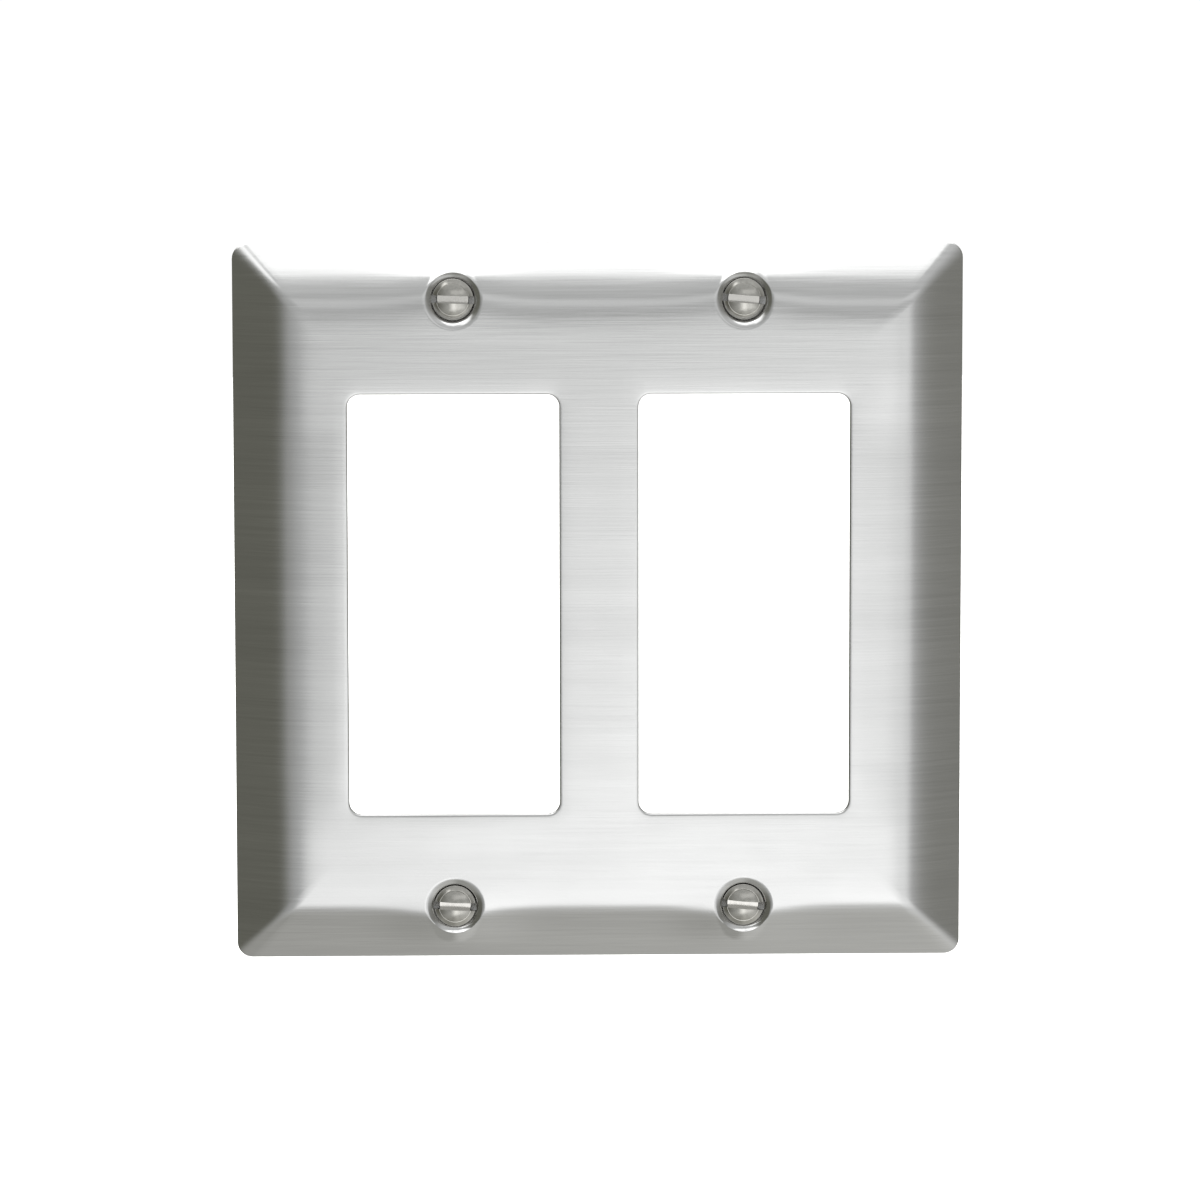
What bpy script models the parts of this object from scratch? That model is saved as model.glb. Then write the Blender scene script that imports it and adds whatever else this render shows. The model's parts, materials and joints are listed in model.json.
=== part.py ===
"""Two-gang decorator wall plate in pressed stainless steel, with its four mounting screws
and the soft retaining washers that keep them in the plate.

Metres, +Z up. The plate stands upright: its face looks along -Y and its rim lies on the wall,
the plane y = 0. The origin is the middle of the plate on that plane. "Height" below means
the distance in front of the wall, and "inset" the distance in from the plate's outline.
"""
from math import cos, pi, radians, sin, tan

import bmesh
import bpy
from mathutils import Matrix

INCH = 0.0254

# Plate
PLATE_WIDTH = 4.5625 * INCH
PLATE_HEIGHT = 4.5 * INCH
PLATE_DEPTH = 0.22 * INCH
SHEET = 0.032 * INCH
RIM_LAND = 0.0005                 # height of the squared edge that meets the wall
SLOPE_ANGLE = radians(34)         # of the border, up from the wall
BEND_RADIUS = 0.0095              # outer radius of the bend from the border to the face
RIM_CORNER_RADIUS = 0.0024
FACE_CORNER_RADIUS = 0.0010       # the corners narrow as they climb to the face
SHARPEST_CORNER = 0.00025

# Openings for the two devices
GANG_SPACING = 1.8125 * INCH
OPENING_WIDTH = 0.0335
OPENING_HEIGHT = 0.0670
OPENING_CORNER_RADIUS = 0.0020

# Pressed dimples for the screws
SCREW_ROW_SPACING = 3.8125 * INCH
COUNTERSINK_HALF_ANGLE = radians(41)
DIMPLE_RADIUS = 0.0051            # of the cone, at the height of the face
HOLE_RADIUS = 0.0023

# Oval-head slotted screw, 6-32 x 1/2 inch
HEAD_RADIUS = 0.0033
HEAD_LAND = 0.00015
DOME_HEIGHT = 0.0011
THREAD_RADIUS = 0.069 * INCH
SCREW_LENGTH = 0.5 * INCH         # from the head's rim to the tip
TIP_RADIUS = 0.0012
TIP_CHAMFER = 0.0006
SLOT_WIDTH = 0.0012
SLOT_FLOOR = -0.0011              # measured from the head's rim
SLOT_TILTS = {                    # clockwise from level, seen from the front
    "upper_left": radians(2),
    "upper_right": radians(5),
    "lower_left": radians(3),
    "lower_right": radians(5),
}

# Nylon retaining washer, pushed on the thread behind the plate
RETAINER_RADIUS = 0.0040
RETAINER_THICKNESS = 0.0008
RETAINER_CHAMFER = 0.00015
FINGER_SLIT_WIDTH = 0.0005
FINGER_SLIT_REACH = 0.0031        # from the axis

CLEARANCE = 0.0003                # between neighbouring pieces
OVERSHOOT = 0.002                 # how far a cutter runs past what it cuts

CORNER_STEPS = 6
BEND_STEPS = 5
DOME_STEPS = 4
ROUND_STEPS = 40

# Worked out from the sizes above
BEND_RISE = BEND_RADIUS * (1 - cos(SLOPE_ANGLE))
SLOPE_RISE = PLATE_DEPTH - RIM_LAND - BEND_RISE
SLOPE_RUN = SLOPE_RISE / tan(SLOPE_ANGLE)
BORDER_WIDTH = SLOPE_RUN + BEND_RADIUS * sin(SLOPE_ANGLE)
CONE_TAPER = tan(COUNTERSINK_HALF_ANGLE)
DIMPLE_DEPTH = (DIMPLE_RADIUS - HOLE_RADIUS) / CONE_TAPER
HEAD_GAP = CLEARANCE / cos(COUNTERSINK_HALF_ANGLE)
HEAD_DEPTH = (DIMPLE_RADIUS - HEAD_RADIUS - HEAD_GAP) / CONE_TAPER - HEAD_LAND
HEAD_RIM_Y = HEAD_DEPTH - PLATE_DEPTH
CUP_BOTTOM_Y = DIMPLE_DEPTH - PLATE_DEPTH
RETAINER_Y = CUP_BOTTOM_Y + CLEARANCE
SCREW_PLACES = {
    "upper_left": (-GANG_SPACING / 2, SCREW_ROW_SPACING / 2),
    "upper_right": (GANG_SPACING / 2, SCREW_ROW_SPACING / 2),
    "lower_left": (-GANG_SPACING / 2, -SCREW_ROW_SPACING / 2),
    "lower_right": (GANG_SPACING / 2, -SCREW_ROW_SPACING / 2),
}


def clear_scene():
    for item in list(bpy.data.objects):
        bpy.data.objects.remove(item, do_unlink=True)


def new_collection(name):
    collection = bpy.data.collections.new(name)
    bpy.context.scene.collection.children.link(collection)
    return collection


def new_material(name, colour, metallic, roughness):
    material = bpy.data.materials.new(name)
    material.use_nodes = True
    shader = material.node_tree.nodes["Principled BSDF"]
    shader.inputs["Base Color"].default_value = (*colour, 1.0)
    shader.inputs["Metallic"].default_value = metallic
    shader.inputs["Roughness"].default_value = roughness
    material.diffuse_color = (*colour, 1.0)
    return material


def new_object(name, mesh, collection, location=(0, 0, 0), rotation=(0, 0, 0)):
    item = bpy.data.objects.new(name, mesh)
    item.location = location
    item.rotation_euler = rotation
    collection.objects.link(item)
    return item


def new_cutter(name, mesh, location=(0, 0, 0), rotation=(0, 0, 0)):
    item = new_object(name, mesh, cutters, location, rotation)
    item.hide_render = True
    item.display_type = "WIRE"
    return item


def subtract(item, cutter):
    cut = item.modifiers.new("cut_" + cutter.name, "BOOLEAN")
    cut.operation = "DIFFERENCE"
    cut.solver = "EXACT"
    cut.object = cutter


def mesh_from(edit, name):
    bmesh.ops.recalc_face_normals(edit, faces=edit.faces)
    mesh = bpy.data.meshes.new(name)
    edit.to_mesh(mesh)
    edit.free()
    return mesh


def finished_mesh(item, name):
    """A plain mesh of an object's evaluated shape, which the copies of a repeated piece share."""
    evaluated = item.evaluated_get(bpy.context.evaluated_depsgraph_get())
    mesh = bpy.data.meshes.new_from_object(evaluated)
    mesh.name = name
    return mesh


def rounded_rectangle(half_width, half_height, radius):
    """Points (x, z) of a rounded rectangle, anticlockwise seen from the front."""
    points = []
    corners = ((1, 1, 0), (-1, 1, 1), (-1, -1, 2), (1, -1, 3))
    for side_x, side_z, quarter in corners:
        for step in range(CORNER_STEPS + 1):
            angle = pi / 2 * (quarter + step / CORNER_STEPS)
            x = side_x * (half_width - radius) + radius * cos(angle)
            z = side_z * (half_height - radius) + radius * sin(angle)
            points.append((x, z))
    return points


def lofted_mesh(name, sections):
    """A closed solid through rounded rectangles: (half width, half height, corner radius, y)."""
    edit = bmesh.new()
    rings = []
    for half_width, half_height, radius, y in sections:
        outline = rounded_rectangle(half_width, half_height, radius)
        rings.append([edit.verts.new((x, y, z)) for x, z in outline])
    count = len(rings[0])
    for lower, upper in zip(rings, rings[1:]):
        for i in range(count):
            j = (i + 1) % count
            edit.faces.new((lower[i], lower[j], upper[j], upper[i]))
    edit.faces.new(rings[0])
    edit.faces.new(rings[-1])
    return mesh_from(edit, name)


def border_profile(offset):
    """(inset, height) from the rim up to the face, on a line `offset` inside the outer surface."""
    normal_x = sin(SLOPE_ANGLE)
    normal_h = -cos(SLOPE_ANGLE)
    start = (offset * normal_x, RIM_LAND + offset * normal_h)
    points = [start]
    centre = (BORDER_WIDTH, PLATE_DEPTH - BEND_RADIUS)
    radius = BEND_RADIUS - offset
    for step in range(BEND_STEPS + 1):
        angle = SLOPE_ANGLE * (1 - step / BEND_STEPS)
        points.append((centre[0] - radius * sin(angle), centre[1] + radius * cos(angle)))
    return points


def corner_radius(inset):
    share = min(inset / BORDER_WIDTH, 1)
    return RIM_CORNER_RADIUS + share * (FACE_CORNER_RADIUS - RIM_CORNER_RADIUS)


def section(inset, height, radius):
    return (PLATE_WIDTH / 2 - inset, PLATE_HEIGHT / 2 - inset, radius, -height)


def outer_sections():
    profile = [(0, 0)] + border_profile(0)
    return [section(inset, height, corner_radius(inset)) for inset, height in profile]


def hollow_sections():
    """The sheet's inner surface, carried on past the wall so that the rim is cut flat there."""
    profile = border_profile(SHEET)
    inset, height = profile[0]
    drop = height + OVERSHOOT
    profile.insert(0, (inset - drop / tan(SLOPE_ANGLE), -OVERSHOOT))
    tightening = SHEET / sin(SLOPE_ANGLE)
    sections = []
    for inset, height in profile:
        radius = max(corner_radius(max(inset, 0)) - tightening, SHARPEST_CORNER)
        sections.append(section(inset, height, radius))
    return sections


def opening_sections():
    size = (OPENING_WIDTH / 2, OPENING_HEIGHT / 2, OPENING_CORNER_RADIUS)
    return [(*size, -PLATE_DEPTH - OVERSHOOT), (*size, OVERSHOOT)]


def cone_mesh(name, radius_front, radius_back, length):
    """A frustum along +Y from y = 0, with its wide or narrow end in front."""
    edit = bmesh.new()
    turn = Matrix.Translation((0, length / 2, 0)) @ Matrix.Rotation(-pi / 2, 4, "X")
    bmesh.ops.create_cone(
        edit, cap_ends=True, segments=ROUND_STEPS,
        radius1=radius_front, radius2=radius_back, depth=length, matrix=turn)
    return mesh_from(edit, name)


def box_mesh(name, size, centre):
    edit = bmesh.new()
    place = Matrix.Translation(centre) @ Matrix.Diagonal((*size, 1))
    bmesh.ops.create_cube(edit, size=1, matrix=place)
    return mesh_from(edit, name)


def turned_object(name, profile, collection):
    """A profile (radius, z) that runs down its outer side, turned about Z."""
    mesh = bpy.data.meshes.new(name)
    edges = [(i, i + 1) for i in range(len(profile) - 1)]
    mesh.from_pydata([(radius, 0, z) for radius, z in profile], edges, [])
    item = new_object(name, mesh, collection)
    turn = item.modifiers.new("turn", "SCREW")
    turn.steps = ROUND_STEPS
    turn.render_steps = ROUND_STEPS
    turn.use_merge_vertices = True
    turn.merge_threshold = 0.00001
    return item


def smooth(mesh, sharpest):
    mesh.shade_smooth()
    mesh.set_sharp_from_angle(angle=sharpest)


def make_hollow():
    """The space behind the sheet, less the cups that the pressed dimples push back into it."""
    hollow = new_cutter("hollow", lofted_mesh("hollow", hollow_sections()))
    wall = SHEET / cos(COUNTERSINK_HALF_ANGLE)
    front = DIMPLE_RADIUS + wall + OVERSHOOT * CONE_TAPER
    cup = cone_mesh("cup", front, HOLE_RADIUS + wall, DIMPLE_DEPTH + OVERSHOOT)
    for place, (x, z) in SCREW_PLACES.items():
        start = (x, -PLATE_DEPTH - OVERSHOOT, z)
        subtract(hollow, new_cutter("cup_" + place, cup, start))
    return hollow


def make_plate():
    plate = new_object("plate", lofted_mesh("plate", outer_sections()), pieces)
    subtract(plate, make_hollow())
    opening = lofted_mesh("opening", opening_sections())
    for side, x in (("left", -GANG_SPACING / 2), ("right", GANG_SPACING / 2)):
        subtract(plate, new_cutter("opening_" + side, opening, (x, 0, 0)))
    front = DIMPLE_RADIUS + OVERSHOOT * CONE_TAPER
    length = DIMPLE_DEPTH + 2 * OVERSHOOT
    dimple = cone_mesh("dimple", front, front - length * CONE_TAPER, length)
    hole = cone_mesh("hole", HOLE_RADIUS, HOLE_RADIUS, DIMPLE_DEPTH + 2 * OVERSHOOT)
    for place, (x, z) in SCREW_PLACES.items():
        start = (x, -PLATE_DEPTH - OVERSHOOT, z)
        subtract(plate, new_cutter("dimple_" + place, dimple, start))
        subtract(plate, new_cutter("hole_" + place, hole, start))
    plate.data.materials.append(brushed_steel)
    smooth(plate.data, radians(30))
    return plate


def screw_profile():
    sphere = (HEAD_RADIUS ** 2 + DOME_HEIGHT ** 2) / (2 * DOME_HEIGHT)
    centre = DOME_HEIGHT - sphere
    profile = []
    for step in range(DOME_STEPS + 1):
        radius = HEAD_RADIUS * step / DOME_STEPS
        profile.append((radius, centre + (sphere ** 2 - radius ** 2) ** 0.5))
    neck = -HEAD_LAND - (HEAD_RADIUS - THREAD_RADIUS) / CONE_TAPER
    profile.append((HEAD_RADIUS, -HEAD_LAND))
    profile.append((THREAD_RADIUS, neck))
    profile.append((THREAD_RADIUS, TIP_CHAMFER - SCREW_LENGTH))
    profile.append((TIP_RADIUS, -SCREW_LENGTH))
    profile.append((0, -SCREW_LENGTH))
    return profile


def make_screws():
    pattern = turned_object("screw_pattern", screw_profile(), cutters)
    slot_top = DOME_HEIGHT + OVERSHOOT
    size = (2 * HEAD_RADIUS + OVERSHOOT, SLOT_WIDTH, slot_top - SLOT_FLOOR)
    centre = (0, 0, (slot_top + SLOT_FLOOR) / 2)
    slot = new_cutter("slot", box_mesh("slot", size, centre))
    subtract(pattern, slot)
    mesh = finished_mesh(pattern, "screw")
    mesh.materials.append(polished_steel)
    smooth(mesh, radians(30))
    for place, (x, z) in SCREW_PLACES.items():
        rotation = (pi / 2, SLOT_TILTS[place], 0)
        new_object("screw_" + place, mesh, pieces, (x, HEAD_RIM_Y, z), rotation)
    bpy.data.objects.remove(pattern, do_unlink=True)


def retainer_profile():
    """From the bore over the front face and down the rim; it closes back on its first point."""
    bore = THREAD_RADIUS + CLEARANCE
    edge = RETAINER_RADIUS - RETAINER_CHAMFER
    half = RETAINER_THICKNESS / 2
    low = half - RETAINER_CHAMFER
    return [
        (bore, half), (edge, half), (RETAINER_RADIUS, low),
        (RETAINER_RADIUS, -low), (edge, -half), (bore, -half), (bore, half),
    ]


def make_retainers():
    pattern = turned_object("retainer_pattern", retainer_profile(), cutters)
    for turn in (pi / 4, 3 * pi / 4):
        name = f"slit_{round(turn / pi * 180)}"
        size = (2 * FINGER_SLIT_REACH, FINGER_SLIT_WIDTH, 2 * RETAINER_THICKNESS)
        slit = new_cutter(name, box_mesh(name, size, (0, 0, 0)), rotation=(0, 0, turn))
        subtract(pattern, slit)
    mesh = finished_mesh(pattern, "retainer")
    mesh.materials.append(nylon)
    smooth(mesh, radians(30))
    y = RETAINER_Y + RETAINER_THICKNESS / 2
    for place, (x, z) in SCREW_PLACES.items():
        new_object("retainer_" + place, mesh, pieces, (x, y, z), (pi / 2, 0, 0))
    bpy.data.objects.remove(pattern, do_unlink=True)


clear_scene()
pieces = new_collection("wall_plate_cover")
cutters = new_collection("cutters")
brushed_steel = new_material("brushed_steel", (0.60, 0.60, 0.59), 1.0, 0.34)
polished_steel = new_material("polished_steel", (0.58, 0.56, 0.53), 1.0, 0.22)
nylon = new_material("nylon", (0.82, 0.80, 0.74), 0.0, 0.45)
make_plate()
make_screws()
make_retainers()
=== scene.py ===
"""Looks of the two-gang decorator wall plate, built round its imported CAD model.

The pressed plate, its four oval-head screws and their nylon retaining washers are remade with
fine surfaces: a softly rolled border, dimples that swell the sheet round them, threads, tool
marks and brushing. The face looks along -Y and the rim lies on the wall, the plane y = 0.
Shapes are worked out in millimetres and turned to metres when a mesh is made.
"""
import json
from math import cos, hypot, pi, radians, sin, tan

import bmesh
import bpy
import numpy as np
from mathutils import Matrix, Vector
from mathutils.geometry import delaunay_2d_cdt


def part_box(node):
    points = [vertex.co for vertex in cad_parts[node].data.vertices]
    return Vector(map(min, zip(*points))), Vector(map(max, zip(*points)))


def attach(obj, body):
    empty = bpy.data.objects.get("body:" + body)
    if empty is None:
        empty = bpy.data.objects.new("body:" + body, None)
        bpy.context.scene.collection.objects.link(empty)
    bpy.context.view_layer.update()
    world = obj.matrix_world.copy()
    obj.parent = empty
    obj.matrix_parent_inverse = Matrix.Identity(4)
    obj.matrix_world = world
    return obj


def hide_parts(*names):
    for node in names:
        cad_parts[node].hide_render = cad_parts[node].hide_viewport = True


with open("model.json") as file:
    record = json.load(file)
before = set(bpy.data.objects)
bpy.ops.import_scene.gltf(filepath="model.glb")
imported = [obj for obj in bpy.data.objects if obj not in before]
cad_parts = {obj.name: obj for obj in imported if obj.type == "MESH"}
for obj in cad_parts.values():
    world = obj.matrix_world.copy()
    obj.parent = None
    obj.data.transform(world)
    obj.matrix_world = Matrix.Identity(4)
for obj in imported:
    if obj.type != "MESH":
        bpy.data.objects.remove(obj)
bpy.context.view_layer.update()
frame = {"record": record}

MM = 0.001

# Sizes read from the frame, in millimetres
PLATE_LOW, PLATE_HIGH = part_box("plate")
WIDTH = (PLATE_HIGH.x - PLATE_LOW.x) / MM
HEIGHT = (PLATE_HIGH.z - PLATE_LOW.z) / MM
DEPTH = -PLATE_LOW.y / MM
TIP_MOUNT = "screw_tip_"
TIPS = {
    mount["name"][len(TIP_MOUNT):]: [value / MM for value in mount["pos_m"]]
    for mount in frame["record"]["mounts"]
    if mount["name"].startswith(TIP_MOUNT)
}
SCREW_PLACES = {place: (x, z) for place, (x, y, z) in TIPS.items()}
GANG_PLACES = sorted({x for x, z in SCREW_PLACES.values()})

# Sheet and border, in millimetres
SHEET = 0.8128
RIM_LAND = 0.5                 # height of the squared edge, before it is rounded
RIM_ROUNDING = 0.3
BORDER_WIDTH = 10.45
BEND_MIDDLE = 7.8              # inset at which the border has half its full slope
BEND_SOFTNESS = 2.6
OUTER_CORNER_RADIUS = 2.4
INNER_CORNER_RADIUS = 0.9
CORNER_NARROWING = 0.134       # loss of corner radius per millimetre of inset
SHARPEST_CORNER = 0.1

# Openings, in millimetres
OPENING_WIDTH = 33.5
OPENING_HEIGHT = 67.0
OPENING_CORNER_RADIUS = 2.0
OPENING_ROUNDING = 0.2

# Dimples, in millimetres
CONE_TAPER = tan(radians(41))
SEAT_RADIUS = 3.52             # of the cone, at the height of the screw head's rim
SEAT_DEPTH = 1.46              # of that height below the face
SEAT_BLEND = 0.1               # between the seat and the steep side over it
SIDE_TAPER = 0.12              # radius gained for each millimetre of the steep side
SIDE_BLEND = 0.15              # between the steep side and the lip
LIP_RADIUS = 4.3               # of the sloping lip, at its crest
LIP_SLOPE = tan(radians(40))
LEAST_CREST = 4.62             # height over the wall of the crest, where the border falls away
CREST_BLEND = 0.4
COLLAR_SINK = 0.32             # how far the raised collar outside the crest stays below the face
COLLAR_SLOPE = 0.75
COLLAR_CURVE = 0.3
DIMPLE_ROUNDING = 0.45         # how softly the dimple rolls into the face
CUP_BOTTOM = 2.367             # height of the cup's flat end over the wall
CUP_BLEND = 0.1
HOLE_RADIUS = 2.1

# Slight sags and swellings that pressing leaves, in millimetres
STRIP_WIDTH = 17.3             # from the outline to an opening
LEAN_DROP = 0.25               # of the strips beside the openings, where they meet the border
LEAN_PEAK = 9.0                # inset of the greatest drop
LEAN_END = 24.0                # distance from the middle, up or down, where the lean starts to fade
LEAN_FADE = 14.0
ROLL_DROP = 0.04               # of the face, at the edge of an opening
ROLL_REACH = 0.8
SWELL_SHIFT = 1.4              # how far the border's bend is pushed out beside a dimple
SWELL_REACH = 5.5

# Rows of points that the sheet is divided by, in millimetres
BORDER_ROWS = (0.02, 0.06, 0.12, 0.2, 0.35, *np.arange(0.6, 13, 0.4), 13.5, 14.5, 15.8)
OPENING_ROWS = (0.45, 0.8)
DIMPLE_ROWS = (*np.arange(HOLE_RADIUS + 0.1, 5.4, 0.1), *np.arange(5.5, 7, 0.25))
WHOLE_BORDER = 5.0             # width of the border that no dimple reaches, so its rows stay whole
CLEAR_OF_OPENING = 1.0         # how far from an opening or a screw's axis loose points may start
CLEAR_OF_SCREW = 7.0
FACE_START = 17.5              # inset of the even grid that fills the face
FACE_STEP = 1.9
BORDER_COUNTS = (90, 90)       # points along the level and the upright sides of a loop
OPENING_COUNTS = (28, 56)
CORNER_STEPS = 8
CIRCLE_COUNT = 72
ON_RIM = 0.01                  # insets smaller than this lie on the outline


def lncosh(value):
    return np.log(np.cosh(value))


# The slope that brings the flat face out to the plate's depth
BEND_FAR = BEND_MIDDLE + BEND_SOFTNESS * (np.log(2) + lncosh(BEND_MIDDLE / BEND_SOFTNESS))
FULL_SLOPE = 2 * (DEPTH - RIM_LAND) / BEND_FAR


def border_height(inset):
    """Height of the outer surface over the wall: a slope that rolls softly into the face."""
    past = lncosh((inset - BEND_MIDDLE) / BEND_SOFTNESS)
    before = lncosh(BEND_MIDDLE / BEND_SOFTNESS)
    return RIM_LAND + FULL_SLOPE / 2 * (inset - BEND_SOFTNESS * (past - before))


def border_slope(inset):
    """How steeply the border rises at an inset."""
    return FULL_SLOPE / 2 * (1 - np.tanh((inset - BEND_MIDDLE) / BEND_SOFTNESS))


def inset_of(x, z, rim_radius):
    """How far points lie in from the outline, whose corners narrow as they go in."""
    from_side = WIDTH / 2 - np.abs(x)
    from_end = HEIGHT / 2 - np.abs(z)
    gain = 1 - CORNER_NARROWING
    square = 2 * gain ** 2 - CORNER_NARROWING ** 2
    linear = 2 * gain * (2 * rim_radius - from_side - from_end)
    linear = linear + 2 * CORNER_NARROWING * rim_radius
    constant = (rim_radius - from_side) ** 2 + (rim_radius - from_end) ** 2 - rim_radius ** 2
    root = np.sqrt(np.maximum(linear ** 2 - 4 * square * constant, 0))
    corner = (root - linear) / (2 * square)
    reach = rim_radius + gain * corner
    in_corner = (reach > from_side) & (reach > from_end)
    return np.where(in_corner, corner, np.minimum(from_side, from_end))


def smooth_step(value):
    share = np.clip(value, 0, 1)
    return share * share * (3 - 2 * share)


def smooth_min(a, b, blend):
    """The lesser value, rounded where the two are closer than the blend."""
    overlap = np.maximum(blend - np.abs(a - b), 0) / blend
    return np.minimum(a, b) - overlap ** 2 * blend / 4


def smooth_max(a, b, blend):
    return -smooth_min(-a, -b, blend)


def from_opening(x, z):
    """How far points lie outside the nearest opening; negative inside it."""
    best = np.full(np.shape(x), 1e9)
    for centre in GANG_PLACES:
        past_x = np.abs(x - centre) - (OPENING_WIDTH / 2 - OPENING_CORNER_RADIUS)
        past_z = np.abs(z) - (OPENING_HEIGHT / 2 - OPENING_CORNER_RADIUS)
        outside = np.hypot(np.maximum(past_x, 0), np.maximum(past_z, 0))
        within = np.minimum(np.maximum(past_x, past_z), 0)
        best = np.minimum(best, outside + within - OPENING_CORNER_RADIUS)
    return best


def from_screws(x, z):
    """Distance to the nearest screw's axis."""
    return np.min([np.hypot(x - px, z - pz) for px, pz in SCREW_PLACES.values()], axis=0)


def crest_height(x, z):
    """Height of the crest round the nearest dimple, in the direction of each point."""
    places = np.array(list(SCREW_PLACES.values()))
    nearest = np.argmin([np.hypot(x - px, z - pz) for px, pz in places], axis=0)
    centre_x, centre_z = places[nearest].T
    share = LIP_RADIUS / np.maximum(np.hypot(x - centre_x, z - centre_z), 1e-6)
    crest_x = centre_x + (x - centre_x) * share
    crest_z = centre_z + (z - centre_z) * share
    height = border_height(swollen_inset(crest_x, crest_z, OUTER_CORNER_RADIUS))
    return smooth_max(height, LEAST_CREST, CREST_BLEND)


def rounded_off(distance, radius):
    """How far a surface drops near a rounded edge."""
    share = np.clip(radius - distance, 0, radius)
    return radius - np.sqrt(radius ** 2 - share ** 2)


def swollen_inset(x, z, rim_radius):
    """The inset, carried outwards where a pressed dimple has pushed the bend out."""
    inset = inset_of(x, z, rim_radius)
    swell = np.exp(-(from_screws(x, z) / SWELL_REACH) ** 2 / 2)
    return inset + SWELL_SHIFT * swell * smooth_step(inset / BORDER_WIDTH * 2)


def dimple_height(radius, crest, wall):
    """Height of the pressed dimple: a countersunk seat, a steep side and a sloping lip. `wall`
    is how far out, square to the axis, the skin lies from the one that the screw sits in."""
    radius = radius - wall
    seat = DEPTH - SEAT_DEPTH - (SEAT_RADIUS - radius) / CONE_TAPER
    side = DEPTH - SEAT_DEPTH - (SEAT_RADIUS - radius) / SIDE_TAPER
    lip = crest - (LIP_RADIUS - radius) * LIP_SLOPE
    return smooth_max(seat, smooth_min(side, lip, SIDE_BLEND), SEAT_BLEND)


def collar_height(radius, crest):
    """Height of the metal heaved up round a dimple, where the border falls away from it."""
    away = np.abs(radius - LIP_RADIUS)
    top = np.minimum(crest, DEPTH - COLLAR_SINK)
    return top - away * COLLAR_SLOPE - away ** 2 * COLLAR_CURVE


def strip_lean(x, z, inset):
    """How far the narrow strips beside the openings have dropped towards the border."""
    beside = (WIDTH / 2 - np.abs(x)) < (HEIGHT / 2 - np.abs(z))
    along = 1 - smooth_step((np.abs(z) - LEAN_END) / LEAN_FADE)
    fall = np.clip((STRIP_WIDTH - inset) / (STRIP_WIDTH - LEAN_PEAK), 0, 1)
    across = smooth_step(inset / LEAN_PEAK) * fall
    return np.where(beside, LEAN_DROP * along * across, 0)


def opening_roll(x, z):
    """The slight roll-over that punching leaves round the openings."""
    return ROLL_DROP * np.exp(-np.maximum(from_opening(x, z), 0) / ROLL_REACH)


def front_height(x, z):
    """Height of the front skin over the wall."""
    inset = inset_of(x, z, OUTER_CORNER_RADIUS)
    height = border_height(swollen_inset(x, z, OUTER_CORNER_RADIUS))
    fillet_height = RIM_LAND + RIM_ROUNDING * (FULL_SLOPE - hypot(1, FULL_SLOPE))
    share = np.clip(RIM_ROUNDING - inset, 0, RIM_ROUNDING)
    fillet = fillet_height + np.sqrt(RIM_ROUNDING ** 2 - share ** 2)
    fillet_end = RIM_ROUNDING * (1 - FULL_SLOPE / hypot(1, FULL_SLOPE))
    height = np.where(inset < fillet_end, fillet, height)
    height = height - strip_lean(x, z, inset) - opening_roll(x, z)
    radius = from_screws(x, z)
    crest = crest_height(x, z)
    height = smooth_max(height, collar_height(radius, crest), COLLAR_SINK)
    height = smooth_min(height, dimple_height(radius, crest, 0), DIMPLE_ROUNDING)
    return height - rounded_off(from_opening(x, z), OPENING_ROUNDING)


def back_height(x, z):
    """Height of the back skin over the wall, a sheet's thickness behind the front one."""
    inset = swollen_inset(x, z, INNER_CORNER_RADIUS)
    height = border_height(inset) - SHEET * np.sqrt(1 + border_slope(inset) ** 2)
    height = height - strip_lean(x, z, inset) - opening_roll(x, z)
    radius = from_screws(x, z)
    crest = crest_height(x, z)
    collar = collar_height(radius, crest) - SHEET * hypot(1, COLLAR_SLOPE)
    height = smooth_max(height, collar, COLLAR_SINK)
    cup = dimple_height(radius, crest, SHEET * hypot(1, CONE_TAPER))
    height = smooth_min(height, cup, DIMPLE_ROUNDING)
    cup_end = smooth_max(height, CUP_BOTTOM, CUP_BLEND)
    return np.maximum(np.where(radius < SEAT_RADIUS + SHEET, cup_end, height), 0)


def rectangle_loop(half_width, half_height, radius, counts):
    """Points round a rounded rectangle, anticlockwise seen from the front."""
    points = []
    corners = ((1, 1), (-1, 1), (-1, -1), (1, -1))
    for quarter, (side_x, side_z) in enumerate(corners):
        centre = Vector((side_x * (half_width - radius), side_z * (half_height - radius)))
        for step in range(CORNER_STEPS + 1):
            angle = pi / 2 * (quarter + step / CORNER_STEPS)
            points.append(centre + radius * Vector((cos(angle), sin(angle))))
        next_x, next_z = corners[(quarter + 1) % 4]
        next_centre = Vector((next_x * (half_width - radius), next_z * (half_height - radius)))
        angle = pi / 2 * (quarter + 1)
        goal = next_centre + radius * Vector((cos(angle), sin(angle)))
        start = points[-1]
        count = counts[quarter % 2]
        points += [start.lerp(goal, step / count) for step in range(1, count)]
    return np.array(points)


def border_ring(inset, rim_radius):
    """Points at one inset, all round the plate."""
    radius = float(max(rim_radius - CORNER_NARROWING * inset, SHARPEST_CORNER))
    return rectangle_loop(WIDTH / 2 - inset, HEIGHT / 2 - inset, radius, BORDER_COUNTS)


def opening_ring(centre, distance):
    """Points at one distance outside an opening's edge."""
    loop = rectangle_loop(
        OPENING_WIDTH / 2 + distance, OPENING_HEIGHT / 2 + distance,
        OPENING_CORNER_RADIUS + distance, OPENING_COUNTS)
    return loop + (centre, 0)


def circle(centre, radius):
    """Points round a screw's axis."""
    angles = np.arange(CIRCLE_COUNT) / CIRCLE_COUNT * 2 * pi
    return np.stack([centre[0] + radius * np.cos(angles), centre[1] + radius * np.sin(angles)], 1)


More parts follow.
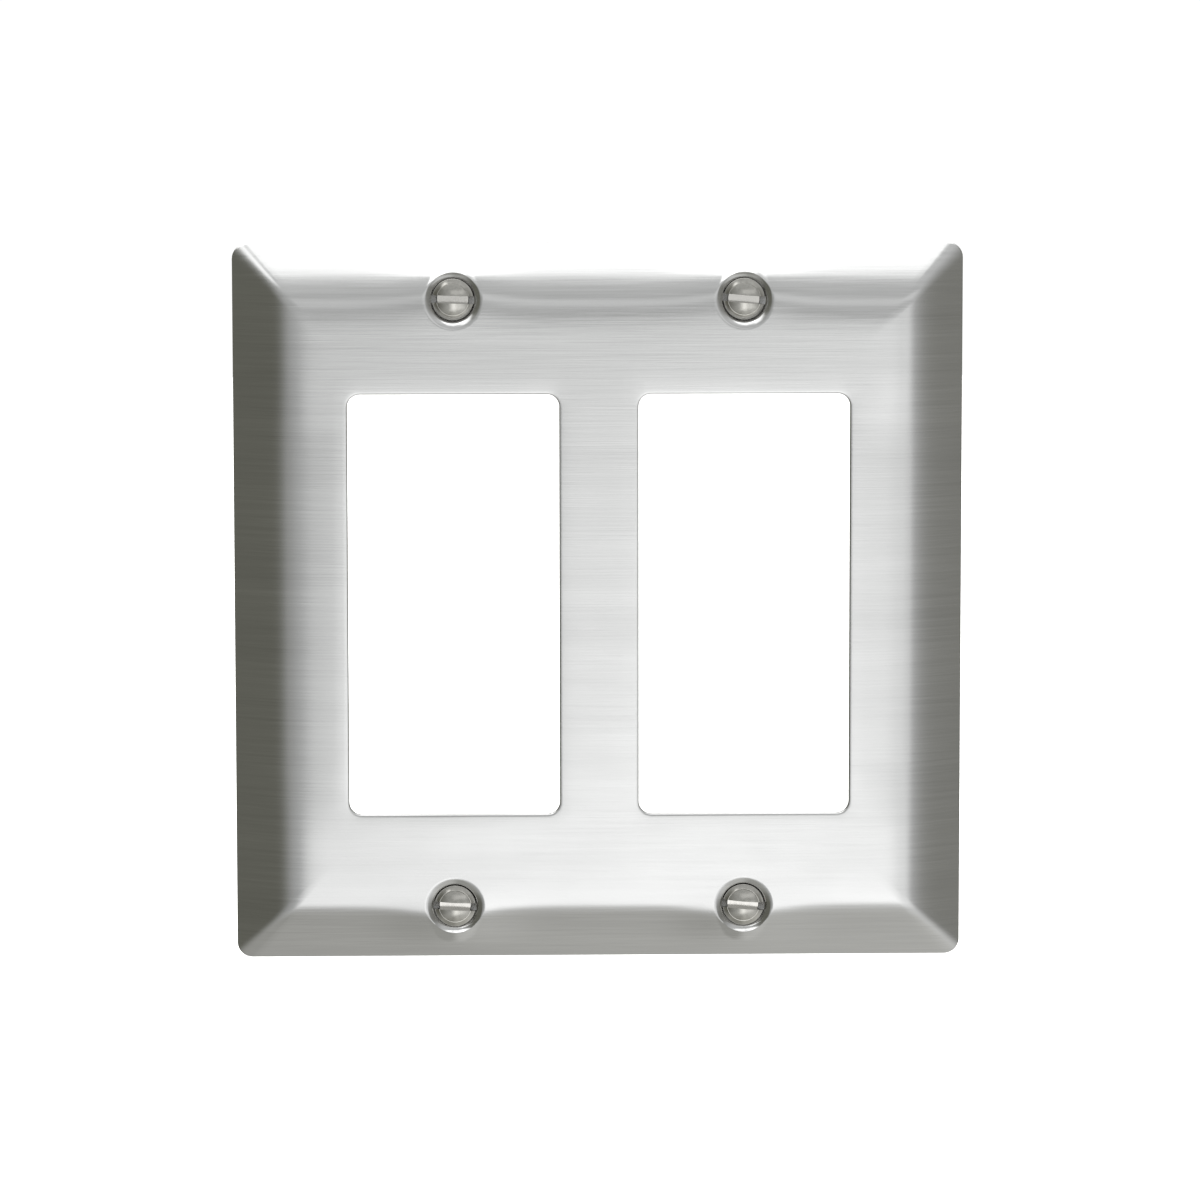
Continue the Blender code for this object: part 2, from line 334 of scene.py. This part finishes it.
def rows_kept_whole(insets, rim_radius):
    """Loops of points whose edges the triangles have to follow."""
    rows = [border_ring(inset, rim_radius) for inset in insets if inset < WHOLE_BORDER]
    rounding = [OPENING_ROUNDING * (1 - cos(radians(turn))) for turn in (22.5, 45, 67.5, 90)]
    for distance in (*rounding, *OPENING_ROWS):
        rows += [opening_ring(centre, distance) for centre in GANG_PLACES]
    for radius in DIMPLE_ROWS:
        rows += [circle(centre, radius) for centre in SCREW_PLACES.values()]
    return rows


def loose_points(insets, rim_radius):
    """Points clear of the openings and the dimples, which the triangles join as they like."""
    rows = [border_ring(inset, rim_radius) for inset in insets if inset >= WHOLE_BORDER]
    steps_x = np.arange(FACE_START - WIDTH / 2, WIDTH / 2 - FACE_START + 0.5, FACE_STEP)
    steps_z = np.arange(FACE_START - HEIGHT / 2, HEIGHT / 2 - FACE_START + 0.5, FACE_STEP)
    rows.append(np.stack(np.meshgrid(steps_x, steps_z), -1).reshape(-1, 2))
    points = np.concatenate(rows)
    clear = from_opening(*points.T) > CLEAR_OF_OPENING
    clear &= from_screws(*points.T) > CLEAR_OF_SCREW
    return points[clear]


def sheet_layer(outline, rim_radius, height):
    """One skin of the sheet: (points, triangles, loops), with loops of point numbers along
    the outline, the openings and the holes."""
    loops = [outline]
    for centre in GANG_PLACES:
        loops.append(opening_ring(centre, 0))
    for centre in SCREW_PLACES.values():
        loops.append(circle(centre, HOLE_RADIUS))
    start = inset_of(outline[:, 0], outline[:, 1], rim_radius).min()
    insets = [inset for inset in BORDER_ROWS if inset > start + ON_RIM]
    kept_whole = rows_kept_whole(insets, rim_radius)
    points = np.concatenate(loops + kept_whole + [loose_points(insets, rim_radius)])
    edges = []
    numbered = []
    first = 0
    for loop in loops + kept_whole:
        numbers = list(range(first, first + len(loop)))
        edges += list(zip(numbers, numbers[1:] + numbers[:1]))
        numbered.append(numbers)
        first += len(loop)
    found, _, faces, origins, _, _ = delaunay_2d_cdt(
        [Vector(point) for point in points], edges, [], 0, 1e-6)
    new_number = {old: new for new, olds in enumerate(origins) for old in olds}
    found = np.array(found)
    faces = np.array(faces)
    # Keep the triangles whose middles lie on the sheet, and end the back skin on the wall
    middle = found[faces].mean(axis=1)
    kept = (from_opening(*middle.T) > 0) & (from_screws(*middle.T) > HOLE_RADIUS * 0.999)
    kept &= inset_of(*middle.T, rim_radius) > start * 0.99 - 1e-4
    loops = [[new_number[number] for number in numbers] for numbers in numbered[:len(loops)]]
    heights = height(found[:, 0], found[:, 1])
    if start > ON_RIM:
        heights[loops[0]] = 0
    return np.column_stack([found[:, 0], -heights, found[:, 1]]), faces[kept], loops


def new_piece(name, mesh, body, replaced, material, matrix=Matrix.Identity(4)):
    """An object that rides on a CAD body and stands for a CAD node."""
    item = bpy.data.objects.new(name, mesh)
    bpy.context.scene.collection.objects.link(item)
    item.matrix_world = matrix
    mesh.materials.append(material)
    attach(item, body)
    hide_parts(replaced)
    return item


def join_loops(edit, one, other):
    """A band of faces between two loops of the same count."""
    count = len(one)
    for i in range(count):
        j = (i + 1) % count
        edit.faces.new((one[i], one[j], other[j], other[i]))


def plate_mesh():
    """The pressed sheet: a front and a back skin joined round the rim and every opening."""
    foot = (SHEET * hypot(1, FULL_SLOPE) - RIM_LAND) / FULL_SLOPE
    front, front_faces, front_loops = sheet_layer(
        border_ring(0, OUTER_CORNER_RADIUS), OUTER_CORNER_RADIUS, front_height)
    back, back_faces, back_loops = sheet_layer(
        border_ring(foot, INNER_CORNER_RADIUS), INNER_CORNER_RADIUS, back_height)
    edit = bmesh.new()
    front_points = [edit.verts.new(point * MM) for point in front]
    back_points = [edit.verts.new(point * MM) for point in back]
    for face in front_faces:
        edit.faces.new([front_points[i] for i in face])
    for face in back_faces:
        edit.faces.new([back_points[i] for i in reversed(face)])
    rim = []
    for i in front_loops[0]:
        x, y, z = front[i] * MM
        rim.append(edit.verts.new((x, 0, z)))
    join_loops(edit, [front_points[i] for i in front_loops[0]], rim)
    join_loops(edit, rim, [back_points[i] for i in back_loops[0]])
    for ahead, behind in zip(front_loops[1:], back_loops[1:]):
        join_loops(edit, [front_points[i] for i in ahead], [back_points[i] for i in behind])
    bmesh.ops.remove_doubles(edit, verts=edit.verts, dist=1e-9)
    bmesh.ops.recalc_face_normals(edit, faces=edit.faces)
    mesh = bpy.data.meshes.new("pressed_plate")
    edit.to_mesh(mesh)
    edit.free()
    brushing = mesh.uv_layers.new(name="brushing")
    places = np.array([mesh.vertices[loop.vertex_index].co for loop in mesh.loops])
    brushing.data.foreach_set("uv", (places[:, [2, 0]] / (WIDTH * MM) + 0.5).ravel())
    mesh.shade_smooth()
    mesh.set_sharp_from_angle(angle=radians(40))
    return mesh


# Screws, in millimetres from the head's rim, with Z out of the face
HEAD_RADIUS = 3.3
HEAD_LAND = 0.15               # height of the head's straight side
HEAD_EDGE = 0.1
DOME_HEIGHT = 1.0
DOME_RADIUS = 7.0
CREASE_RADIUS = 2.45           # where the dome meets the brim
CREASE_DEPTH = 0.09
CREASE_WALLS = (0.05, 0.15)    # how far outside that radius the crease's floor starts and ends
BRIM_HEIGHT = 0.14
DOME_STEPS = 14
EDGE_STEPS = 4
SLOT_WIDTH = 1.2
SLOT_FLOOR = -1.1
SLOT_EDGE = 0.06
CUTTER_MARGIN = 1.0            # how far a cutter stands out of what it cuts
THREAD_PITCH = 25.4 / 32
THREAD_RADIUS = 1.7526
THREAD_DEPTH = 0.4
THREAD_CREST = 0.94            # share of half a pitch, out from the root, where the crest starts
THREAD_FLANK = 0.75            # share of half a pitch that a flank takes up
THREAD_ROWS = 8                # points per pitch along the thread
THREAD_STEPS = 48              # points round it
THREAD_OVERLAP = 0.3           # how far it runs up into the head
SCREW_LENGTH = 12.7
TIP_RADIUS = 1.2
TIP_CHAMFER = 0.6
ROUND_STEPS = 96
HEAD_SHARPNESS = radians(18)   # edges that turn more than this are shaded as edges
SHANK_SHARPNESS = radians(38)
SLOT_TILTS = {                 # clockwise from level, seen from the front
    "upper_left": radians(2),
    "upper_right": radians(5),
    "lower_left": radians(3),
    "lower_right": radians(5),
}


def ring(edit, radius, z):
    """Points round the axis, or the one point on it."""
    if radius < 1e-9:
        return [edit.verts.new((0, 0, z * MM))]
    angles = [2 * pi * step / ROUND_STEPS for step in range(ROUND_STEPS)]
    return [edit.verts.new((radius * cos(a) * MM, radius * sin(a) * MM, z * MM)) for a in angles]


def turned(edit, profile):
    """A closed body from a profile (radius, z) that starts and ends on the axis."""
    rings = [ring(edit, radius, z) for radius, z in profile]
    for one, other in zip(rings, rings[1:]):
        for i in range(ROUND_STEPS):
            j = (i + 1) % ROUND_STEPS
            near = (one[i % len(one)], one[j % len(one)])
            far = (other[j % len(other)], other[i % len(other)])
            edit.faces.new(list(dict.fromkeys(near + far)))


def dome_z(radius):
    """Height of the dome over the head's rim."""
    return DOME_HEIGHT - DOME_RADIUS + (DOME_RADIUS ** 2 - radius ** 2) ** 0.5


def head_profile():
    """The oval head: a dome, a crease, a brim with a rounded edge and a countersunk underside."""
    profile = [(0, DOME_HEIGHT)]
    for step in range(1, DOME_STEPS + 1):
        radius = CREASE_RADIUS * step / DOME_STEPS
        profile.append((radius, dome_z(radius)))
    crease_floor = dome_z(CREASE_RADIUS) - CREASE_DEPTH
    for wall in CREASE_WALLS:
        profile.append((CREASE_RADIUS + wall, crease_floor))
    inner = HEAD_RADIUS - HEAD_EDGE
    profile.append((inner, BRIM_HEIGHT))
    for step in range(1, EDGE_STEPS + 1):
        angle = pi / 2 * step / EDGE_STEPS
        profile.append((inner + HEAD_EDGE * sin(angle), BRIM_HEIGHT - HEAD_EDGE * (1 - cos(angle))))
    profile.append((HEAD_RADIUS, -HEAD_LAND))
    neck = HEAD_RADIUS - THREAD_RADIUS
    profile.append((THREAD_RADIUS, -HEAD_LAND - neck / CONE_TAPER))
    profile.append((0, -HEAD_LAND - neck / CONE_TAPER))
    return profile


def thread_radius(turns):
    """Radius of the thread after so many turns: flat crest, sloping flanks, rounded root."""
    share = turns % 1
    flank = abs(share - 0.5) * 2
    return THREAD_RADIUS - THREAD_DEPTH * smooth_step((THREAD_CREST - flank) / THREAD_FLANK)


def thread_mesh_into(edit):
    """A right-hand thread: a grid that winds round with its pitch, closed at both ends."""
    low = -SCREW_LENGTH
    high = -HEAD_LAND - (HEAD_RADIUS - THREAD_RADIUS) / CONE_TAPER + THREAD_OVERLAP
    rows = int((high - low) / THREAD_PITCH + 3) * THREAD_ROWS
    grid = []
    for row in range(rows + THREAD_ROWS + 1):
        line = []
        for step in range(THREAD_STEPS):
            angle = 2 * pi * step / THREAD_STEPS
            free = low + THREAD_PITCH * (row / THREAD_ROWS - 1 + step / THREAD_STEPS)
            z = min(max(free, low), high)
            radius = float(thread_radius((z - low) / THREAD_PITCH - step / THREAD_STEPS))
            chamfer = TIP_RADIUS + (z - low) / TIP_CHAMFER * (THREAD_RADIUS - TIP_RADIUS)
            radius = min(radius, chamfer)
            point = (radius * cos(angle) * MM, radius * sin(angle) * MM, z * MM)
            line.append(edit.verts.new(point))
        grid.append(line)
    for row in range(rows):
        for step in range(THREAD_STEPS):
            if step + 1 < THREAD_STEPS:
                other = (grid[row][step + 1], grid[row + 1][step + 1])
            else:
                other = (grid[row + THREAD_ROWS][0], grid[row + 1 + THREAD_ROWS][0])
            edit.faces.new((grid[row][step], other[0], other[1], grid[row + 1][step]))
    bmesh.ops.remove_doubles(edit, verts=edit.verts, dist=1e-8)
    bmesh.ops.dissolve_degenerate(edit, edges=edit.edges, dist=1e-8)
    open_edges = [edge for edge in edit.edges if edge.is_boundary]
    bmesh.ops.edgeloop_fill(edit, edges=open_edges)
    loose = [vert for vert in edit.verts if not vert.link_faces]
    bmesh.ops.delete(edit, geom=loose, context="VERTS")


def as_mesh(edit, name):
    """The finished mesh, its faces turned outwards."""
    bmesh.ops.recalc_face_normals(edit, faces=edit.faces)
    mesh = bpy.data.meshes.new(name)
    edit.to_mesh(mesh)
    edit.free()
    return mesh


def boxed(size, centre, turn=0):
    """A plain block, turned about the axis."""
    edit = bmesh.new()
    place = Matrix.Rotation(turn, 4, "Z") @ Matrix.Translation(Vector(centre) * MM)
    bmesh.ops.create_cube(edit, size=MM, matrix=place @ Matrix.Diagonal((*size, 1)))
    return as_mesh(edit, "cutter")


def cut_and_edged(mesh, cutters, edge_width, least_angle):
    """The mesh less its cutters, with the sharp edges broken."""
    item = bpy.data.objects.new("blank", mesh)
    bpy.context.scene.collection.objects.link(item)
    tools = []
    for cutter in cutters:
        tool = bpy.data.objects.new("tool", cutter)
        bpy.context.scene.collection.objects.link(tool)
        cut = item.modifiers.new("cut", "BOOLEAN")
        cut.solver = "EXACT"
        cut.object = tool
        tools.append(tool)
    edge = item.modifiers.new("edge", "BEVEL")
    edge.width = edge_width * MM
    edge.segments = 2
    edge.limit_method = "ANGLE"
    edge.angle_limit = least_angle
    bpy.context.view_layer.update()
    evaluated = item.evaluated_get(bpy.context.evaluated_depsgraph_get())
    result = bpy.data.meshes.new_from_object(evaluated)
    for extra in [item, *tools]:
        bpy.data.objects.remove(extra, do_unlink=True)
    return result


def screw_mesh():
    """A slotted oval-head screw; the head and the shank overlap and are shaded apart."""
    edit = bmesh.new()
    turned(edit, head_profile())
    top = DOME_HEIGHT + CUTTER_MARGIN
    slot_size = (2 * HEAD_RADIUS + 2 * CUTTER_MARGIN, SLOT_WIDTH, top - SLOT_FLOOR)
    slot = boxed(slot_size, (0, 0, (top + SLOT_FLOOR) / 2))
    head = cut_and_edged(as_mesh(edit, "head"), [slot], SLOT_EDGE, radians(60))
    shank = bmesh.new()
    thread_mesh_into(shank)
    shank = as_mesh(shank, "shank")
    both = bmesh.new()
    for part, sharpness in ((head, HEAD_SHARPNESS), (shank, SHANK_SHARPNESS)):
        part.shade_smooth()
        part.set_sharp_from_angle(angle=sharpness)
        both.from_mesh(part)
    mesh = bpy.data.meshes.new("oval_head_screw")
    both.to_mesh(mesh)
    both.free()
    return mesh


# Retaining washers, in millimetres
RETAINER_RADIUS = 4.0
RETAINER_THICKNESS = 0.8
RETAINER_CHAMFER = 0.15
RETAINER_BORE = 1.85
RETAINER_EDGE = 0.04           # of the broken edges along the slits
SLIT_WIDTH = 0.5
SLIT_REACH = 3.1


def retainer_mesh():
    """A soft washer whose bore is slit into four fingers."""
    edit = bmesh.new()
    half = RETAINER_THICKNESS / 2
    profile = []
    for corner_radius, corner_z, first in (
        (RETAINER_RADIUS, half, 90), (RETAINER_RADIUS, -half, 0),
        (RETAINER_BORE, -half, -90), (RETAINER_BORE, half, -180),
    ):
        inward = -1 if corner_radius == RETAINER_RADIUS else 1
        downward = -1 if corner_z > 0 else 1
        centre_radius = corner_radius + inward * RETAINER_CHAMFER
        centre_z = corner_z + downward * RETAINER_CHAMFER
        for angle in (radians(first - turn) for turn in (0, 30, 60, 90)):
            profile.append((centre_radius + RETAINER_CHAMFER * cos(angle),
                            centre_z + RETAINER_CHAMFER * sin(angle)))
    rings = [ring(edit, radius, z) for radius, z in profile]
    for one, other in zip(rings, rings[1:] + rings[:1]):
        join_loops(edit, one, other)
    slits = [
        boxed((2 * SLIT_REACH, SLIT_WIDTH, 2 * RETAINER_THICKNESS), (0, 0, 0), turn)
        for turn in (pi / 4, 3 * pi / 4)
    ]
    mesh = cut_and_edged(as_mesh(edit, "retainer"), slits, RETAINER_EDGE, radians(60))
    mesh.name = "retaining_washer"
    mesh.shade_smooth()
    mesh.set_sharp_from_angle(angle=radians(40))
    return mesh


# Materials

NOISE_RANGE = (0.3, 0.7)       # where most of a noise texture's values lie
SCREW_WEAR_RANGE = (0.35, 0.65)


def new_material(name):
    """A material, its node tree and its surface shader."""
    material = bpy.data.materials.new(name)
    material.use_nodes = True
    tree = material.node_tree
    return material, tree, tree.nodes["Principled BSDF"]


def add(tree, kind, inputs=None, **settings):
    """A new node with its settings, and its sockets set or linked by name or number."""
    node = tree.nodes.new(kind)
    for key, value in settings.items():
        setattr(node, key, value)
    for key, value in (inputs or {}).items():
        if isinstance(value, bpy.types.NodeSocket):
            tree.links.new(value, node.inputs[key])
        else:
            node.inputs[key].default_value = value
    return node


def stretched_noise(tree, scale, detail, offset=(0, 0, 0)):
    """Noise over the object's own coordinates, at so many features a metre along each axis."""
    place = add(tree, "ShaderNodeTexCoord").outputs["Object"]
    stretched = add(tree, "ShaderNodeMapping",
                    {"Vector": place, "Scale": scale, "Location": offset}).outputs["Vector"]
    settings = {"Vector": stretched, "Scale": 1.0, "Detail": detail, "Roughness": 0.6}
    return add(tree, "ShaderNodeTexNoise", settings).outputs["Fac"]


def ranged(tree, value, low, high, whence=NOISE_RANGE):
    """The value carried from its own range to low and high."""
    node = add(tree, "ShaderNodeMapRange",
               {0: value, 1: whence[0], 2: whence[1], 3: low, 4: high})
    return node.outputs[0]


def maths(tree, operation, a, b):
    return add(tree, "ShaderNodeMath", {0: a, 1: b}, operation=operation).outputs[0]


def blended(tree, one, other, share_of_one):
    """The weighted sum of two values."""
    weighted_one = maths(tree, "MULTIPLY", one, share_of_one)
    weighted_other = maths(tree, "MULTIPLY", other, 1 - share_of_one)
    return maths(tree, "ADD", weighted_one, weighted_other)


def mixed_colour(tree, share, one, other):
    """A colour between two others, each a colour of its own or a socket."""
    node = add(tree, "ShaderNodeMix", data_type="RGBA")
    tree.links.new(share, node.inputs["Factor"])
    for key, colour in (("A", one), ("B", other)):
        if isinstance(colour, bpy.types.NodeSocket):
            tree.links.new(colour, node.inputs[key])
        else:
            node.inputs[key].default_value = (*colour, 1)
    return node.outputs["Result"]


def bumped(tree, shader, height, strength, distance):
    """Relief in the surface, its depth in metres."""
    settings = {"Height": height, "Strength": strength, "Distance": distance}
    bump = add(tree, "ShaderNodeBump", settings)
    tree.links.new(bump.outputs[0], shader.inputs["Normal"])


def brushed_stainless():
    """Satin stainless sheet, brushed along X before it was pressed."""
    material, tree, shader = new_material("brushed_stainless")
    hairline = stretched_noise(tree, (70, 70, 7000), 3.0)
    streak = stretched_noise(tree, (45, 45, 1900), 3.0, (3, 0, 5))
    band = stretched_noise(tree, (9, 9, 150), 3.0, (7, 0, 1))
    cloud = stretched_noise(tree, (35, 35, 45), 3.0, (1, 0, 9))
    grain = blended(tree, hairline, streak, 0.55)
    tone = ranged(tree, blended(tree, grain, band, 0.6), 0, 1)
    colour = mixed_colour(tree, tone, (0.54, 0.54, 0.54), (0.68, 0.68, 0.68))
    tree.links.new(colour, shader.inputs["Base Color"])
    fine_roughness = ranged(tree, grain, -0.05, 0.05)
    rough = maths(tree, "ADD", fine_roughness, ranged(tree, cloud, 0.185, 0.225))
    tree.links.new(rough, shader.inputs["Roughness"])
    shader.inputs["Metallic"].default_value = 1.0
    shader.inputs["Anisotropic"].default_value = 0.3
    tangent = add(tree, "ShaderNodeTangent", direction_type="UV_MAP", uv_map="brushing")
    tree.links.new(tangent.outputs[0], shader.inputs["Tangent"])
    bumped(tree, shader, grain, 0.35, 0.00002)
    return material


def screw_steel():
    """Turned screw steel: circular tool marks, handling wear, painted shade and highlight."""
    material, tree, shader = new_material("screw_steel")
    place = add(tree, "ShaderNodeTexCoord")
    x, y, z = add(tree, "ShaderNodeSeparateXYZ", {0: place.outputs["Object"]}).outputs
    flat = add(tree, "ShaderNodeCombineXYZ", {0: x, 1: y}).outputs[0]
    radius = add(tree, "ShaderNodeVectorMath", {0: flat}, operation="LENGTH").outputs["Value"]
    turned_place = add(tree, "ShaderNodeCombineXYZ", {0: radius, 1: z}).outputs[0]
    marks = add(tree, "ShaderNodeTexNoise",
                {"Vector": turned_place, "Scale": 9000.0, "Detail": 3.0}).outputs["Fac"]
    wear = stretched_noise(tree, (1500, 1500, 1500), 3.0)
    worn = ranged(tree, wear, 0, 1, SCREW_WEAR_RANGE)
    # Painted shade with wear: the dome is painted darker than the slot floor and mottled by
    # handling wear
    dome_wear_and_shade = mixed_colour(tree, worn, (0.43, 0.42, 0.395), (0.50, 0.49, 0.46))
    # Painted highlight: the slot floor, and everything below its height, is painted brighter than
    # the dome
    slot_and_below_highlight = ranged(tree, z, 1, 0, ((SLOT_FLOOR + 0.02) * MM, (SLOT_FLOOR + 0.08) * MM))
    colour = mixed_colour(tree, slot_and_below_highlight, dome_wear_and_shade, (0.60, 0.585, 0.56))
    tree.links.new(colour, shader.inputs["Base Color"])
    worn_roughness = ranged(tree, wear, -0.02, 0.03, SCREW_WEAR_RANGE)
    rough = maths(tree, "ADD", ranged(tree, marks, 0.12, 0.18), worn_roughness)
    tree.links.new(rough, shader.inputs["Roughness"])
    shader.inputs["Metallic"].default_value = 1.0
    bumped(tree, shader, marks, 0.3, 0.00001)
    return material


def nylon():
    """Natural nylon: milky, slightly waxy, with a faint moulded grain."""
    material, tree, shader = new_material("nylon")
    cloud = stretched_noise(tree, (700, 700, 700), 3.0)
    grain = stretched_noise(tree, (6000, 6000, 6000), 2.0)
    colour = mixed_colour(tree, ranged(tree, cloud, 0, 1), (0.79, 0.77, 0.70), (0.85, 0.83, 0.78))
    tree.links.new(colour, shader.inputs["Base Color"])
    tree.links.new(ranged(tree, grain, 0.38, 0.52), shader.inputs["Roughness"])
    shader.inputs["Subsurface Weight"].default_value = 0.25
    shader.inputs["Subsurface Scale"].default_value = 0.0008
    bumped(tree, shader, grain, 0.2, 0.00002)
    return material


# Studio

# The light that comes from each direction. A direction's slanted value is its Z less its X times
# the slant, so that a card's upper and lower edges rise towards +X.
X, Y, Z, SLANTED = 0, 1, 2, 3
SLANT = 0.18
NEUTRAL = (1.0, 1.0, 1.0)
IN_FRONT = (-2, 0.2, 0.2)
CARD_RISE = (-0.53, -0.075, 0.04)
SURROUNDINGS = (
    # Each adds its brightness and tint where every axis that it names lies within the range:
    # from, to and softness.
    # Dim room
    (0.17, (1.0, 1.0, 0.84), {}),
    # Right wall
    (0.085, (1.0, 0.98, 1.0), {X: (0.4, 2, 0.3)}),
    # Wall in front of the plate, and its upper part
    (0.40, (0.98, 1.0, 1.05), {X: (-0.49, 0.75, 0.3), Z: (-0.6, 2, 0.15), Y: IN_FRONT}),
    (0.14, NEUTRAL, {X: (-0.6, 0.75, 0.3), Z: (0.5, 2, 0.2), Y: IN_FRONT}),
    # Narrow band over the card
    (0.44, NEUTRAL, {X: (-0.08, 0.50, 0.15), Z: (0.18, 0.36, 0.06), Y: IN_FRONT}),
    # Card in front of the plate, and the brighter left part of it
    (0.60, NEUTRAL, {X: (-0.08, 0.50, 0.15), SLANTED: CARD_RISE, Y: IN_FRONT}),
    (0.64, NEUTRAL, {X: (-0.08, 0.15, 0.15), SLANTED: CARD_RISE, Y: IN_FRONT}),
    # Table, and the brighter right part of it
    (0.28, (1.0, 1.0, 0.99), {X: (-0.7, 0.9, 0.3), Z: (-2, -0.55, 0.15)}),
    (0.23, (1.0, 1.0, 0.99), {X: (0.0, 0.9, 0.12), Z: (-2, -0.45, 0.2)}),
    # Lamps overhead, at the upper left, and above and behind the plate
    (1.35, NEUTRAL, {X: (-0.85, 0.8, 0.1), Z: (0.85, 2, 0.02)}),
    (1.30, NEUTRAL, {X: (-2, -0.28, 0.08), Z: (0.6, 2, 0.05)}),
    (1.40, NEUTRAL, {X: (-0.6, 0.6, 0.3), Y: (0.3, 2, 0.3), Z: (0.3, 2, 0.1)}),
)
BACKDROP = 1.05                # brightness of the plain white that the camera sees behind it all
FLOOR_SIZE = 16.0              # in metres
FLOOR_DEPTH = 0.5              # below the plate's middle, in metres
BROAD_LIGHT = 2.8
BROAD_LIGHT_TURN = (radians(20), radians(-15), 0)


def window(tree, value, low, high, softness):
    """1 between low and high, falling smoothly to 0 over the softness."""
    rise = add(tree, "ShaderNodeMapRange", {0: value, 1: low - softness, 2: low + softness},
               interpolation_type="SMOOTHSTEP")
    fall = add(tree, "ShaderNodeMapRange", {0: value, 1: high + softness, 2: high - softness},
               interpolation_type="SMOOTHSTEP")
    return maths(tree, "MULTIPLY", rise.outputs[0], fall.outputs[0])


def make_studio():
    """Plain soft light all round, seen in the metal, and a plain white backdrop."""
    world = bpy.data.worlds.new("studio")
    bpy.context.scene.world = world
    world.use_nodes = True
    tree = world.node_tree
    tree.nodes.clear()
    place = add(tree, "ShaderNodeTexCoord")
    direction = list(add(tree, "ShaderNodeSeparateXYZ", {0: place.outputs["Generated"]}).outputs)
    rise = maths(tree, "MULTIPLY", direction[X], SLANT)
    direction.append(maths(tree, "SUBTRACT", direction[Z], rise))
    total = None
    for level, tint, ranges in SURROUNDINGS:
        strength = level
        for axis, (low, high, softness) in ranges.items():
            share = window(tree, direction[axis], low, high, softness)
            strength = maths(tree, "MULTIPLY", share, strength)
        light = add(tree, "ShaderNodeBackground", {"Color": (*tint, 1), "Strength": strength})
        light = light.outputs[0]
        if total:
            light = add(tree, "ShaderNodeAddShader", {0: total, 1: light}).outputs[0]
        total = light
    backdrop = add(tree, "ShaderNodeBackground", {"Color": (1, 1, 1, 1), "Strength": BACKDROP})
    path = add(tree, "ShaderNodeLightPath")
    chosen = add(tree, "ShaderNodeMixShader",
                 {0: path.outputs["Is Camera Ray"], 1: total, 2: backdrop.outputs[0]})
    add(tree, "ShaderNodeOutputWorld", {"Surface": chosen.outputs[0]})
    bpy.context.scene.view_settings.view_transform = "Standard"


def make_floor():
    """A plain pale floor well below the plate, with its own broad soft light."""
    edit = bmesh.new()
    bmesh.ops.create_grid(edit, x_segments=1, y_segments=1, size=FLOOR_SIZE / 2)
    floor = bpy.data.objects.new("floor", as_mesh(edit, "floor"))
    floor.location.z = -FLOOR_DEPTH
    bpy.context.scene.collection.objects.link(floor)
    material, tree, shader = new_material("pale_floor")
    mottle = stretched_noise(tree, (3, 3, 3), 3.0)
    colour = mixed_colour(tree, mottle, (0.90, 0.90, 0.90), (0.93, 0.93, 0.93))
    tree.links.new(colour, shader.inputs["Base Color"])
    shader.inputs["Roughness"].default_value = 0.9
    floor.data.materials.append(material)
    floor.visible_glossy = False
    sun = bpy.data.lights.new("broad_light", "SUN")
    sun.energy = BROAD_LIGHT
    sun.angle = radians(60)
    lamp = bpy.data.objects.new("broad_light", sun)
    lamp.rotation_euler = BROAD_LIGHT_TURN
    lamp.visible_glossy = False
    bpy.context.scene.collection.objects.link(lamp)


# Camera, in metres, with its lens and sensor in millimetres
CAMERA_PLACE = (-0.0198, -0.8381, 0.0920)
CAMERA_YAW = radians(1.372)       # towards +X
CAMERA_PITCH = radians(-6.25)
CAMERA_ROLL = radians(-0.07)
CAMERA_LENS = 158.5
SENSOR_WIDTH = 36.0


def make_camera():
    data = bpy.data.cameras.new("camera")
    data.lens = CAMERA_LENS
    data.sensor_width = SENSOR_WIDTH
    camera = bpy.data.objects.new("camera", data)
    bpy.context.scene.collection.objects.link(camera)
    level = cos(CAMERA_PITCH)
    ahead = Vector((sin(CAMERA_YAW) * level, cos(CAMERA_YAW) * level, sin(CAMERA_PITCH)))
    turn = ahead.to_track_quat("-Z", "Y").to_matrix().to_4x4()
    roll = Matrix.Rotation(CAMERA_ROLL, 4, "Z")
    camera.matrix_world = Matrix.Translation(CAMERA_PLACE) @ turn @ roll
    bpy.context.scene.camera = camera


# Assembly

def make_plate():
    new_piece("pressed_plate", plate_mesh(), "plate", "plate",
              brushed_stainless())


def make_screws():
    mesh = screw_mesh()
    material = screw_steel()
    for place, (x, y, z) in TIPS.items():
        head_rim = Vector((x, y - SCREW_LENGTH, z)) * MM
        turn = Matrix.Rotation(SLOT_TILTS[place], 4, "Y") @ Matrix.Rotation(pi / 2, 4, "X")
        new_piece(f"oval_head_screw_{place}", mesh.copy(), f"screw_{place}",
                  f"screw_{place}", material, Matrix.Translation(head_rim) @ turn)


def make_retainers():
    mesh = retainer_mesh()
    material = nylon()
    for place, (x, z) in SCREW_PLACES.items():
        low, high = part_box(f"retainer_{place}")
        middle = Vector((x * MM, (low.y + high.y) / 2, z * MM))
        turn = Matrix.Rotation(pi / 2, 4, "X")
        new_piece(f"retaining_washer_{place}", mesh.copy(), f"retainer_{place}",
                  f"retainer_{place}", material, Matrix.Translation(middle) @ turn)


make_camera()
make_studio()
make_floor()
make_plate()
make_screws()
make_retainers()
